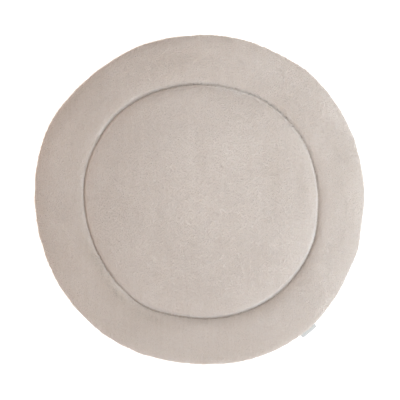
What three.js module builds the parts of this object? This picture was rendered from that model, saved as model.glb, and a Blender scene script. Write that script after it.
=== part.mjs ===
// Round padded play mat, lying flat: a crowned centre inside one sewn ring, a wide filled border round it,
// and a small blank label sewn into the side seam.
// Millimetres, +Z up. The origin is under the middle of the mat, on the surface it lies on.
// Angles are in degrees, counter-clockwise from +X, seen from above.

import * as THREE from "three";

// Outline of the filled mat, out to the tips of its pile
const EDGE_RADIUS = 450;

// Where the soft edge stands out or draws in from that radius: the middle of the place, how far out it
// goes, and how wide a stretch of the edge it takes on each side
const EDGE_BULGES = [
  { at: 10, out: -2.6, spread: 6.5 },
  { at: 25, out: 1.0, spread: 7 },
  { at: 48, out: 5.0, spread: 9 },
  { at: 62, out: -2.0, spread: 5 },
  { at: 73, out: 1.5, spread: 6 },
  { at: 93, out: -1.8, spread: 8 },
  { at: 124, out: -2.2, spread: 8 },
  { at: 157, out: 7.8, spread: 10.5 },
  { at: 205, out: -3.4, spread: 26 },
  { at: 265, out: -6.6, spread: 11 },
  { at: 305, out: 7.2, spread: 18 },
  { at: 331, out: -3.2, spread: 6 },
  { at: 353, out: -5.5, spread: 6.5 },
];

// The sewn ring: its mean radius, how far its middle lies off the mat's middle and which way, how much
// longer it is along that way (oval) and toward its four soft corners, and where its hand-guided line
// wanders
const RING_RADIUS = 317.9;
const RING_SHIFT = 5.5;
const RING_SHIFT_TOWARD = -28;
const RING_OVAL = 3.5;
const RING_CORNERS = 2.5;
const RING_LONG_WAY = -40;
const RING_BULGES = [
  { at: 10, out: -1.0, spread: 5 },
  { at: 29, out: 2.0, spread: 9 },
  { at: 53, out: 2.0, spread: 8 },
  { at: 75, out: -1.5, spread: 25 },
  { at: 133, out: 1.2, spread: 8 },
  { at: 150, out: -0.8, spread: 9 },
  { at: 166, out: 2.6, spread: 7 },
  { at: 208, out: -3.2, spread: 11 },
  { at: 242, out: 6.1, spread: 9 },
  { at: 281, out: 2.3, spread: 12 },
  { at: 325, out: -1.9, spread: 9 },
  { at: 354, out: -3.2, spread: 6.5 },
];

// Heights of the filled form
const CENTRE_HEIGHT = 35;
const SHOULDER_HEIGHT = 31;
const BORDER_HEIGHT = 32;
const SIDE_SEAM_HEIGHT = 13;
const BORDER_FULLNESS = 0.25;

// The channel that the sewn ring pulls into the filling: a narrow crease in a wide soft channel, which is
// deepest and widest on the mat's fuller side. The crease is steeper toward the centre than toward the
// border. It is shallower where the thread lies loose, and deeper or shallower at the places in its rows.
// Beneath, there is only a low pinch.
const CHANNEL_FLOOR = 13.5;
const FLOOR_CHANGE = 2.5;
const CHANNEL_SWELL = 16.5;
const SWELL_CHANGE = 5.5;
const FULLEST_TOWARD = -35;
const CREASE_DEPTH = 8;
const CREASE_CHANGES = [
  { at: 65, out: -2.2, spread: 12 },
  { at: 120, out: 1.0, spread: 12 },
  { at: 182, out: -2.6, spread: 26 },
  { at: 298, out: 4.0, spread: 32 },
];
const CREASE_SWELL_IN = 2.0;
const CREASE_SWELL_OUT = 4.6;
const LOOSE_AT = 45;
const LOOSE_SPREAD = 28;
const LOOSE_SHARE = 0.2;
const PINCH_HEIGHT = 2.0;
const PINCH_WIDTH = 18;

// The rounded rim: how far in the top and the underside curve down to the side seam
const RIM_TOP_WIDTH = 58;
const RIM_UNDER_WIDTH = 34;
const RIM_ROUNDNESS = 2.3;

// The blank label, folded double and sewn into the side seam
const LABEL_FROM = 306.6;
const LABEL_TO = 312.8;
const LABEL_REACH = 465.5;
const LABEL_THICKNESS = 1.6;
const LABEL_DROOP = 2.5;
const LABEL_STEPS = 8;
const SEWN_GAP = 0.3;

// How finely the forms are cut
const STEPS_ROUND = 96;
const CENTRE_ROWS = 11;
const BORDER_ROWS = 13;
const UNDER_BORDER_ROWS = 8;
const UNDER_CENTRE_ROWS = 5;
const SEAM_BUNCHING = 2.4;

// Colours read from the cloth
const PLUSH_COLOUR = 0xc6bab2;
const LABEL_COLOUR = 0xd8d7d3;

const TURN = 360;

function radians(degrees) {
  return (degrees * Math.PI) / (TURN / 2);
}

// The shortest way round from one angle to another, from -180 to 180
function angleBetween(from, to) {
  const gap = (((to - from) % TURN) + TURN) % TURN;
  return gap > TURN / 2 ? gap - TURN : gap;
}

// A soft bell round a place: 1 there, and less with every step round from it
function bell(angle, at, spread) {
  const away = angleBetween(at, angle) / spread;
  return Math.exp(-0.5 * away * away);
}

// How far a line round the mat stands out at an angle
function standsOut(rows, angle) {
  return rows.reduce((sum, { at, out, spread }) => sum + out * bell(angle, at, spread), 0);
}

function edgeBulge(angle) {
  return standsOut(EDGE_BULGES, angle);
}

function edgeRadius(angle) {
  return EDGE_RADIUS + edgeBulge(angle);
}

// The sewn ring's radius: a circle, moved off centre, a little oval, with four soft corners and waves
function ringRadius(angle) {
  const shifted = RING_SHIFT * Math.cos(radians(angle - RING_SHIFT_TOWARD));
  const along = radians(angle - RING_LONG_WAY);
  return (
    RING_RADIUS +
    shifted +
    RING_OVAL * Math.cos(2 * along) +
    RING_CORNERS * Math.cos(4 * along) +
    standsOut(RING_BULGES, angle)
  );
}

// 0 at the edge and 1 where the rim has become level: a quarter of a rounded oval
function rimCurve(inFromEdge, width) {
  const left = 1 - Math.min(inFromEdge / width, 1);
  return Math.pow(1 - Math.pow(left, RIM_ROUNDNESS), 1 / RIM_ROUNDNESS);
}

// How deep the channel is below a crown, at a distance from the stitch line: the filling swells away from
// the line fast at first and then levels off
function channelDepth(fromSeam, angle, crown, creaseSwell) {
  const fuller = Math.cos(radians(angle - FULLEST_TOWARD));
  const floor = CHANNEL_FLOOR - FLOOR_CHANGE * fuller;
  const loose = LOOSE_SHARE * bell(angle, LOOSE_AT, LOOSE_SPREAD);
  const crease = (CREASE_DEPTH + standsOut(CREASE_CHANGES, angle)) * (1 - loose);
  const wide = crown - floor - CREASE_DEPTH;
  const swell = CHANNEL_SWELL + SWELL_CHANGE * fuller;
  return crease * Math.exp(-fromSeam / creaseSwell) + wide * Math.exp(-fromSeam / swell);
}

// The centre's top: its crown is highest in the middle and sinks to the shoulder, then into the channel
function centreTop(share, angle) {
  const fromSeam = (1 - share) * ringRadius(angle);
  const crown =
    SHOULDER_HEIGHT + (CENTRE_HEIGHT - SHOULDER_HEIGHT) * (1 - share * share);
  return crown - channelDepth(fromSeam, angle, SHOULDER_HEIGHT, CREASE_SWELL_IN);
}

// The border's top: out of the channel, over a crown that is fuller where the edge bulges, and down round
// the rim to the side seam
function borderTop(share, angle) {
  const width = edgeRadius(angle) - ringRadius(angle);
  const crown = BORDER_HEIGHT + BORDER_FULLNESS * edgeBulge(angle);
  const rim =
    SIDE_SEAM_HEIGHT +
    (crown - SIDE_SEAM_HEIGHT) * rimCurve((1 - share) * width, RIM_TOP_WIDTH);
  return rim - channelDepth(share * width, angle, crown, CREASE_SWELL_OUT);
}

// The underside lies on the floor but for the shallow pinch under the stitch line and the rim
function underPinch(fromSeam) {
  const left = 1 - Math.min(fromSeam / PINCH_WIDTH, 1) ** 2;
  return PINCH_HEIGHT * left * left;
}

function centreUnder(share, angle) {
  return underPinch((1 - share) * ringRadius(angle));
}

function borderUnder(share, angle) {
  const width = edgeRadius(angle) - ringRadius(angle);
  const rim = 1 - rimCurve((1 - share) * width, RIM_UNDER_WIDTH);
  return SIDE_SEAM_HEIGHT * rim + underPinch(share * width);
}

// Shares from 0 to 1 that crowd together toward 1
function crowdedToOne(rows) {
  return Array.from(
    { length: rows + 1 },
    (_, row) => 1 - Math.pow(1 - row / rows, SEAM_BUNCHING),
  );
}

// Shares from 0 to 1 that crowd together toward both ends
function crowdedToEnds(rows) {
  return Array.from(
    { length: rows + 1 },
    (_, row) => (1 - Math.cos((Math.PI * row) / rows)) / 2,
  );
}

function centreRow(share, height) {
  return { radius: (angle) => share * ringRadius(angle), height, share };
}

function borderRow(share, height) {
  return {
    radius: (angle) => {
      const ring = ringRadius(angle);
      return ring + share * (edgeRadius(angle) - ring);
    },
    height,
    share,
  };
}

// The mat's rows, from the ring next to the middle of the top, out over the edge, and back in beneath.
// Each row is one closed loop round the mat.
function matRows() {
  const topCentre = crowdedToOne(CENTRE_ROWS).slice(1, -1);
  const topBorder = crowdedToEnds(BORDER_ROWS);
  const underBorder = crowdedToEnds(UNDER_BORDER_ROWS).slice(0, -1).reverse();
  const underCentre = crowdedToOne(UNDER_CENTRE_ROWS).slice(1, -1).reverse();
  return [
    ...topCentre.map((share) => centreRow(share, centreTop)),
    ...topBorder.map((share) => borderRow(share, borderTop)),
    ...underBorder.map((share) => borderRow(share, borderUnder)),
    ...underCentre.map((share) => centreRow(share, centreUnder)),
  ];
}

// Walks the rows round the mat, then joins each to the next, with a point in the middle at both ends
function matGeometry() {
  const rows = matRows();
  const points = [0, 0, centreTop(0, 0)];
  for (const row of rows) {
    for (let step = 0; step < STEPS_ROUND; step += 1) {
      const angle = (step * TURN) / STEPS_ROUND;
      const radius = row.radius(angle);
      points.push(
        radius * Math.cos(radians(angle)),
        radius * Math.sin(radians(angle)),
        row.height(row.share, angle),
      );
    }
  }
  points.push(0, 0, 0);
  const last = points.length / 3 - 1;
  const at = (row, step) => 1 + row * STEPS_ROUND + (step % STEPS_ROUND);
  const faces = [];
  for (let step = 0; step < STEPS_ROUND; step += 1) {
    faces.push(0, at(0, step), at(0, step + 1));
    for (let row = 0; row < rows.length - 1; row += 1) {
      faces.push(at(row, step), at(row + 1, step), at(row + 1, step + 1));
      faces.push(at(row, step), at(row + 1, step + 1), at(row, step + 1));
    }
    faces.push(at(rows.length - 1, step), last, at(rows.length - 1, step + 1));
  }
  const geometry = new THREE.BufferGeometry();
  geometry.setAttribute("position", new THREE.Float32BufferAttribute(points, 3));
  geometry.setIndex(faces);
  geometry.computeVertexNormals();
  return geometry;
}

// The label: its inner side follows the edge of the mat, its outer side is the fold of the tape, and it
// droops a little toward that fold
function labelGeometry() {
  const angles = Array.from(
    { length: LABEL_STEPS + 1 },
    (_, step) => LABEL_FROM + ((LABEL_TO - LABEL_FROM) * step) / LABEL_STEPS,
  );
  const point = (radius, angle) =>
    new THREE.Vector2(
      radius * Math.cos(radians(angle)),
      radius * Math.sin(radians(angle)),
    );
  const inner = angles.map((angle) => point(edgeRadius(angle) + SEWN_GAP, angle));
  const outer = angles.map((angle) => point(LABEL_REACH, angle));
  const shape = new THREE.Shape([...outer, ...inner.reverse()]);
  const geometry = new THREE.ExtrudeGeometry(shape, {
    depth: LABEL_THICKNESS,
    bevelEnabled: false,
  });
  const place = geometry.getAttribute("position");
  for (let i = 0; i < place.count; i += 1) {
    const radius = Math.hypot(place.getX(i), place.getY(i));
    const outward = (LABEL_REACH - radius) / (LABEL_REACH - EDGE_RADIUS);
    const droop = LABEL_DROOP * (1 - outward);
    place.setZ(i, place.getZ(i) + SIDE_SEAM_HEIGHT - LABEL_THICKNESS / 2 - droop);
  }
  geometry.computeVertexNormals();
  return geometry;
}

function namedMesh(name, geometry, colour, roughness) {
  const material = new THREE.MeshStandardMaterial({
    name,
    color: colour,
    roughness,
    metalness: 0,
  });
  const mesh = new THREE.Mesh(geometry, material);
  mesh.name = name;
  return mesh;
}

const playMat = new THREE.Group();
playMat.name = "play_mat";

// One filled solid: cover, filling and sewn edge together
const paddedMat = namedMesh("padded_mat", matGeometry(), PLUSH_COLOUR, 0.95);
playMat.add(paddedMat);

playMat.add(namedMesh("side_label", labelGeometry(), LABEL_COLOUR, 0.8));

// The origin goes under the middle of the mat's box, which its uneven outline puts a little off its centre
const middle = new THREE.Box3().setFromObject(paddedMat).getCenter(new THREE.Vector3());
playMat.position.set(-middle.x, -middle.y, 0);

export default playMat;
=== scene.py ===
"""Looks of a round padded play mat of short plush, lying flat on a pale floor.

The mat is one filled form: a crowned centre, the channel of one sewn ring, a wide filled border and a
rounded rim that draws in to a side seam. Dense plush pile covers its top. A plain cotton back closes it
beneath. Thread stitches run round the ring on both sides and a small blank label of folded tape stands
out of the side seam.

Metres, +Z up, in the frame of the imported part. Angles run counter-clockwise from +X.
"""

import logging
import math
from dataclasses import dataclass, field
from enum import Enum, IntEnum

import bpy
import numpy as np
from bpy.types import Material, Node, NodeSocket, NodeTree, Object
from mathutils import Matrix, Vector


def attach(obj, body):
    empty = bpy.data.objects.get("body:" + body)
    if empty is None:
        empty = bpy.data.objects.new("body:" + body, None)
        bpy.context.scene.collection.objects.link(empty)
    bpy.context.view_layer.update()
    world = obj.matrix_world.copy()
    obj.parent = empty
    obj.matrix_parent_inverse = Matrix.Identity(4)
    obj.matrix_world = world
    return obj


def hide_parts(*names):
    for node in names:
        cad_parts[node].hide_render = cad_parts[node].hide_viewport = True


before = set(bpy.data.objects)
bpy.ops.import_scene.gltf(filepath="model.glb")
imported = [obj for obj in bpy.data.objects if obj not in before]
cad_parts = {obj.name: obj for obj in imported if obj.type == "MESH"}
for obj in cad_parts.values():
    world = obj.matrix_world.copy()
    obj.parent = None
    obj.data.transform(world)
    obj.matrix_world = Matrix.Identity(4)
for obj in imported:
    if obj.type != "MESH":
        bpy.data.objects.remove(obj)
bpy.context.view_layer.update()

MM = 0.001
BODY = "root"
MAT_NODE = "padded_mat"
LABEL_NODE = "side_label"
BAKE_MAP = "OFBake"
# Radians that a wave texture turns over one unit of its coordinates, at a scale of 1
WAVE_TURN = 20

Array = np.ndarray
log = logging.getLogger("play_mat")


def linear(colour: str) -> tuple[float, float, float, float]:
    """Turns an sRGB hex colour into linear red, green, blue and a full alpha.

    Args:
        colour: six hex digits, such as "c6bab2".

    Returns:
        The linear colour as a shader's socket takes it.
    """
    shares = [int(colour[i : i + 2], 16) / 255 for i in (0, 2, 4)]
    red, green, blue = (s / 12.92 if s <= 0.04045 else ((s + 0.055) / 1.055) ** 2.4 for s in shares)
    return red, green, blue, 1.0


def add_node(tree: NodeTree, kind: str, inputs: dict | None = None, **settings: object) -> Node:
    """Adds one shader node with its settings, and sets or links its inputs.

    Args:
        tree: the material's node tree.
        kind: Blender's name of the node's type.
        inputs: each input by name or number, with the value it takes or the output it is linked from.
        settings: the node's own properties.

    Returns:
        The new node.
    """
    node = tree.nodes.new(kind)
    for name, value in settings.items():
        setattr(node, name, value)
    for name, value in (inputs or {}).items():
        if isinstance(value, NodeSocket):
            tree.links.new(value, node.inputs[name])
        else:
            node.inputs[name].default_value = value
    return node


def mixed(tree: NodeTree, share: NodeSocket, low: str, high: str) -> NodeSocket:
    """Adds a mix of two sRGB colours.

    Args:
        tree: the material's node tree.
        share: where the mix stands, from 0 at the low colour to 1 at the high one.
        low: the first colour, six hex digits.
        high: the second colour, six hex digits.

    Returns:
        The mixed colour.
    """
    # Among the sockets of a Mix node, its two colours are inputs 6 and 7 and its colour is output 2
    inputs = {"Factor": share, 6: linear(low), 7: linear(high)}
    return add_node(tree, "ShaderNodeMix", inputs, data_type="RGBA").outputs[2]


def bumped(tree: NodeTree, height: NodeSocket, depth: float, strength: float) -> NodeSocket:
    """Adds a bump of this depth, in metres, from a pattern's height, and returns its normal."""
    inputs = {"Height": height, "Distance": depth, "Strength": strength}
    return add_node(tree, "ShaderNodeBump", inputs).outputs["Normal"]


def wave_scale(length: float) -> float:
    """The scale at which a wave texture repeats after this length of its coordinates."""
    return 2 * math.pi / (WAVE_TURN * length)


def own_place(tree: NodeTree) -> NodeSocket:
    """Adds the object's own coordinates."""
    return add_node(tree, "ShaderNodeTexCoord").outputs["Object"]


@dataclass(frozen=True)
class Finish:
    """What every finish shares: a name, and a material made from its look."""

    name: str

    def look(self, tree: NodeTree) -> dict:
        """Adds the pattern's nodes.

        Args:
            tree: the material's node tree.

        Returns:
            The inputs of the surface shader, by name.
        """
        raise NotImplementedError

    def material(self) -> Material:
        """Builds the node material: one surface shader with this finish's look.

        Returns:
            The material.
        """
        material = bpy.data.materials.new(self.name)
        material.use_nodes = True
        tree = material.node_tree
        tree.nodes.clear()
        shader = add_node(tree, "ShaderNodeBsdfPrincipled", self.look(tree))
        add_node(tree, "ShaderNodeOutputMaterial", {"Surface": shader.outputs["BSDF"]})
        return material


def new_mesh(
    name: str,
    points: Array,
    blocks: list[Array],
    maps: list[Array] | None = None,
    values: dict[str, Array] | None = None,
    slots: list[int] | None = None,
) -> Object:
    """Makes a smooth-shaded mesh object at the origin from whole arrays.

    Args:
        name: the object's and the mesh's name.
        points: the vertices, (count, 3), in metres.
        blocks: groups of faces, each an integer array (faces, corners).
        maps: for each block, the map place (count, 2) of every vertex, as that block sees it.
        values: named numbers, one for each vertex.
        slots: for each block, the number of the material it takes.

    Returns:
        The object, linked to the scene.
    """
    mesh = bpy.data.meshes.new(name)
    corners = np.concatenate([block.ravel() for block in blocks])
    sizes = np.concatenate([np.full(len(block), block.shape[1]) for block in blocks])
    mesh.vertices.add(len(points))
    mesh.vertices.foreach_set("co", np.asarray(points, dtype=np.float32).ravel())
    mesh.loops.add(len(corners))
    mesh.loops.foreach_set("vertex_index", corners.astype(np.int32))
    mesh.polygons.add(len(sizes))
    starts = np.concatenate([[0], np.cumsum(sizes)[:-1]])
    mesh.polygons.foreach_set("loop_start", starts.astype(np.int32))
    mesh.polygons.foreach_set("loop_total", sizes.astype(np.int32))
    mesh.polygons.foreach_set("use_smooth", np.ones(len(sizes), dtype=bool))
    if slots:
        numbers = np.concatenate([np.full(len(b), s) for b, s in zip(blocks, slots)])
        mesh.polygons.foreach_set("material_index", numbers.astype(np.int32))
    mesh.update(calc_edges=True)
    if maps:
        places = np.concatenate([at[block.ravel()] for at, block in zip(maps, blocks)])
        layer = mesh.uv_layers.new(name=BAKE_MAP)
        layer.uv.foreach_set("vector", places.astype(np.float32).ravel())
    for key, numbers in (values or {}).items():
        attribute = mesh.attributes.new(key, "FLOAT", "POINT")
        attribute.data.foreach_set("value", numbers.astype(np.float32))
    mesh.validate()
    made = bpy.data.objects.new(name, mesh)
    bpy.context.scene.collection.objects.link(made)
    return made


def finished(made: Object, materials: list[Material], node: str | None = None) -> Object:
    """Dresses a piece and tells the frame what it belongs to.

    Args:
        made: the piece.
        materials: its materials, in the order that its faces number them.
        node: the part's node that it replaces, if it replaces one.

    Returns:
        The same piece.
    """
    for material in materials:
        made.data.materials.append(material)
    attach(made, BODY)
    if node:
        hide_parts(node)
    return made


def unit(vectors: Array) -> Array:
    """Each vector of the last axis, scaled to a length of one."""
    return vectors / np.maximum(np.linalg.norm(vectors, axis=-1, keepdims=True), 1e-12)


def round_steps(count: int) -> Array:
    """The angles of even steps once round a circle, from 0."""
    return np.arange(count) * 2 * np.pi / count


def round_grid_faces(rows: int, columns: int, first: int = 0) -> Array:
    """Quads between closed loops of points that follow each other, facing outwards.

    Row r and row r + 1 are joined at every step round, and the last step joins the first.

    Args:
        rows: how many loops there are.
        columns: how many points each loop has.
        first: the number of the first loop's first point.

    Returns:
        The faces, (count, 4).
    """
    row, step = np.meshgrid(np.arange(rows - 1), np.arange(columns), indexing="ij")
    here = first + row * columns + step
    there = first + row * columns + (step + 1) % columns
    return np.stack([here, here + columns, there + columns, there], axis=-1).reshape(-1, 4)


def fan_faces(pole: int, first: int, columns: int, outward: bool) -> Array:
    """Triangles from one pole to a loop of points.

    Args:
        pole: the pole's number.
        first: the number of the loop's first point.
        columns: how many points the loop has.
        outward: True where the loop follows the pole, False where the pole follows the loop.

    Returns:
        The faces, (columns, 3).
    """
    here = first + np.arange(columns)
    there = first + (np.arange(columns) + 1) % columns
    ends = [here, there] if outward else [there, here]
    return np.stack([np.full(columns, pole), *ends], axis=-1)


class Seed(IntEnum):
    """The seed of each random field, by what the field is for."""

    FILL = 11
    PUCKER = 12
    GATHER = 13
    FINE_GATHER = 14
    SWIRL_ACROSS = 21
    SWIRL_ALONG = 22
    RUFFLE_LEAN = 23
    RUFFLE_TONE = 24
    LOCKS = 41


@dataclass(frozen=True)
class SoftNoise:
    """A smooth random field: seeded numbers on a square lattice, eased from each point to the next."""

    seed: Seed
    cells: int = 128

    def at(self, x: Array, y: Array, wavelength: float) -> Array:
        """The field at places in the plan.

        Each place lies in one cell of the lattice. The value is the mean of the cell's four corner
        numbers, weighted by how near each is, with the weights eased as 3t^2 - 2t^3.

        Args:
            x: places along X, in metres.
            y: places along Y, in metres.
            wavelength: the side of a cell, in metres.

        Returns:
            Values from -1 to 1.
        """
        table = np.random.default_rng(int(self.seed)).uniform(-1, 1, (self.cells, self.cells))
        across, along = x / wavelength + self.cells / 2, y / wavelength + self.cells / 2
        i, j = np.floor(across).astype(int), np.floor(along).astype(int)
        s, t = across - i, along - j
        s, t = s * s * (3 - 2 * s), t * t * (3 - 2 * t)
        i, j, k, m = (n % self.cells for n in (i, j, i + 1, j + 1))
        low = table[i, j] * (1 - s) + table[k, j] * s
        high = table[i, m] * (1 - s) + table[k, m] * s
        return low * (1 - t) + high * t


def turned(angle: Array, at: float) -> Array:
    """How many degrees angles in radians lie past a place in degrees, from -180 to 180."""
    return (np.degrees(angle) - at + 180) % 360 - 180


def bell(away: Array) -> Array:
    """A soft bell: 1 at its middle, falling by exp(-away^2 / 2)."""
    return np.exp(-0.5 * away**2)


@dataclass(frozen=True)
class Bulge:
    """One place where a line round the mat stands out or draws in, in degrees and millimetres."""

    at: float
    out: float
    spread: float


@dataclass(frozen=True)
class Lump:
    """One place where the filling has gathered or thinned out, in degrees and millimetres.

    Its distance from the stitch line counts outwards, and its height is less than 0 for a hollow.
    """

    at: float
    out: float
    height: float
    round_spread: float
    out_spread: float


@dataclass(frozen=True)
class MatPlan:
    """The mat from above: its uneven edge and its sewn ring, as the part has them."""

    edge_radius: float = 450 * MM
    edge_bulges: tuple[Bulge, ...] = (
        # at, out, spread
        Bulge(10, -2.6, 6.5),
        Bulge(25, 1.0, 7),
        Bulge(48, 5.0, 9),
        Bulge(62, -2.0, 5),
        Bulge(73, 1.5, 6),
        Bulge(93, -1.8, 8),
        Bulge(124, -2.2, 8),
        Bulge(157, 7.8, 10.5),
        Bulge(205, -3.4, 26),
        Bulge(265, -6.6, 11),
        Bulge(305, 7.2, 18),
        Bulge(331, -3.2, 6),
        Bulge(353, -5.5, 6.5),
    )
    ring_radius: float = 317.9 * MM
    ring_shift: float = 5.5 * MM
    ring_shift_toward: float = math.radians(-28)
    ring_oval: float = 3.5 * MM
    ring_corners: float = 2.5 * MM
    ring_long_way: float = math.radians(-40)
    ring_bulges: tuple[Bulge, ...] = (
        # at, out, spread
        Bulge(10, -1.0, 5),
        Bulge(29, 2.0, 9),
        Bulge(53, 2.0, 8),
        Bulge(75, -1.5, 25),
        Bulge(133, 1.2, 8),
        Bulge(150, -0.8, 9),
        Bulge(166, 2.6, 7),
        Bulge(208, -3.2, 11),
        Bulge(242, 6.1, 9),
        Bulge(281, 2.3, 12),
        Bulge(325, -1.9, 9),
        Bulge(354, -3.2, 6.5),
    )
    part_steps: int = 96

    @staticmethod
    def stands_out(angle: Array, rows: tuple[Bulge, ...]) -> Array:
        """How far a line stands out: the sum of a soft bell round each row's own place.

        Args:
            angle: angles round the mat.
            rows: the places where the line stands out or draws in.

        Returns:
            Distances in metres, less than 0 where it draws in.
        """
        total = np.zeros_like(angle)
        for row in rows:
            total += row.out * MM * bell(turned(angle, row.at) / row.spread)
        return total

    def edge_bulge(self, angle: Array) -> Array:
        """How far the edge stands out from its mean radius at an angle."""
        return self.stands_out(angle, self.edge_bulges)

    def edge(self, angle: Array) -> Array:
        """The edge's radius at an angle, out to the tips of the pile."""
        return self.edge_radius + self.edge_bulge(angle)

    def ring(self, angle: Array) -> Array:
        """The sewn ring's radius: a circle off centre, a little oval, with four soft corners and waves."""
        along = angle - self.ring_long_way
        return (
            self.ring_radius
            + self.ring_shift * np.cos(angle - self.ring_shift_toward)
            + self.ring_oval * np.cos(2 * along)
            + self.ring_corners * np.cos(4 * along)
            + self.stands_out(angle, self.ring_bulges)
        )

    def middle(self) -> Array:
        """Finds the middle of the edge's box, which the part moves to its origin.

        Returns:
            The point, at the height of the floor.
        """
        angle = round_steps(self.part_steps)
        x, y = self.edge(angle) * np.cos(angle), self.edge(angle) * np.sin(angle)
        return np.array([(x.min() + x.max()) / 2, (y.min() + y.max()) / 2, 0.0])


@dataclass(frozen=True)
class MatSection:
    """The mat cut from its middle to its edge: heights, channel and rim, as the part has them."""

    plan: MatPlan
    centre_height: float = 35 * MM
    shoulder_height: float = 31 * MM
    border_height: float = 32 * MM
    side_seam_height: float = 13 * MM
    border_fullness: float = 0.25
    channel_floor: float = 13.5 * MM
    floor_change: float = 2.5 * MM
    channel_swell: float = 16.5 * MM
    swell_change: float = 5.5 * MM
    fullest_toward: float = math.radians(-35)
    crease_depth: float = 8 * MM
    crease_changes: tuple[Bulge, ...] = (
        # at, out, spread
        Bulge(65, -2.2, 12),
        Bulge(120, 1.0, 12),
        Bulge(182, -2.6, 26),
        Bulge(298, 4.0, 32),
    )
    crease_swell_in: float = 2.0 * MM
    crease_swell_out: float = 4.6 * MM
    loose_at: float = math.radians(45)
    loose_spread: float = math.radians(28)
    loose_share: float = 0.2
    pinch_height: float = 2.0 * MM
    pinch_width: float = 18 * MM
    rim_top_width: float = 58 * MM
    rim_under_width: float = 34 * MM
    rim_roundness: float = 2.3

    def rim_curve(self, inward: Array, width: float) -> Array:
        """0 at the edge and 1 where the rim has become level: a quarter of a rounded oval."""
        left = 1 - np.minimum(inward / width, 1)
        return (1 - left**self.rim_roundness) ** (1 / self.rim_roundness)

    def looseness(self, angle: Array) -> Array:
        """0 where the ring is sewn tight, rising as a soft bell to 1 where its thread lies loosest."""
        return bell((angle - self.loose_at) / self.loose_spread)

    def seam_floor(self, angle: Array) -> Array:
        """Height of the pile at the stitch line: deepest on the fuller side of the mat."""
        return self.channel_floor - self.floor_change * np.cos(angle - self.fullest_toward)

    def channel(self, away: Array, angle: Array, crown: Array | float, crease_swell: float) -> Array:
        """How deep the channel is at a distance from the stitch line.

        A narrow crease lies in a wide soft channel, and each levels off as exp(-distance / swell). The
        crease is shallower where the thread is loose.

        Args:
            away: distances from the stitch line, in metres.
            angle: angles round the mat, from -pi to pi.
            crown: height of the filling beside the channel.
            crease_swell: the crease's swell on this side of the line.

        Returns:
            Depths below the crown.
        """
        crease = self.crease_depth + self.plan.stands_out(angle, self.crease_changes)
        crease = crease * (1 - self.loose_share * self.looseness(angle))
        wide = crown - self.seam_floor(angle) - self.crease_depth
        swell = self.channel_swell + self.swell_change * np.cos(angle - self.fullest_toward)
        return crease * np.exp(-away / crease_swell) + wide * np.exp(-away / swell)

    def under_pinch(self, away: Array) -> Array:
        """The shallow groove beneath the stitch line: (1 - (distance / width)^2)^2 of its height."""
        left = 1 - np.minimum(away / self.pinch_width, 1) ** 2
        return self.pinch_height * left * left

    def centre_top(self, share: Array, angle: Array) -> Array:
        """Height of the centre: its crown sinks as share^2 to the shoulder, then into the channel.

        Args:
            share: shares of the way from the middle to the ring.
            angle: angles round the mat.

        Returns:
            Heights of the tips of the pile above the floor.
        """
        away = (1 - share) * self.plan.ring(angle)
        crown = self.shoulder_height + (self.centre_height - self.shoulder_height) * (1 - share**2)
        return crown - self.channel(away, angle, self.shoulder_height, self.crease_swell_in)

    def border_top(self, share: Array, angle: Array) -> Array:
        """Height of the border: out of the channel, over its crown and down round the rim.

        Args:
            share: shares of the way from the ring to the edge.
            angle: angles round the mat.

        Returns:
            Heights of the tips of the pile above the floor.
        """
        width = self.plan.edge(angle) - self.plan.ring(angle)
        crown = self.border_height + self.border_fullness * self.plan.edge_bulge(angle)
        rim = self.rim_curve((1 - share) * width, self.rim_top_width)
        height = self.side_seam_height + (crown - self.side_seam_height) * rim
        return height - self.channel(share * width, angle, crown, self.crease_swell_out)

    def centre_under(self, share: Array, angle: Array) -> Array:
        """Height of the centre's underside: on the floor but for the pinch."""
        return self.under_pinch((1 - share) * self.plan.ring(angle))

    def border_under(self, share: Array, angle: Array) -> Array:
        """Height of the border's underside: the pinch, the floor, then up round the rim.

        Args:
            share: shares of the way from the ring to the edge.
            angle: angles round the mat.

        Returns:
            Heights of the back panel above the floor.
        """
        width = self.plan.edge(angle) - self.plan.ring(angle)
        rim = 1 - self.rim_curve((1 - share) * width, self.rim_under_width)
        return self.side_seam_height * rim + self.under_pinch(share * width)


def crowded_to_one(rows: int, power: float) -> Array:
    """Shares from 0 to 1 that crowd toward 1: 1 - (1 - t)^power for even steps t."""
    return 1 - (1 - np.linspace(0, 1, rows + 1)) ** power


def crowded_to_ends(rows: int, crowding: float) -> Array:
    """Shares from 0 to 1, part even and part (1 - cos(pi t)) / 2, so that they crowd toward both ends."""
    t = np.linspace(0, 1, rows + 1)
    return (1 - crowding) * t + crowding * (1 - np.cos(np.pi * t)) / 2


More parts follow.
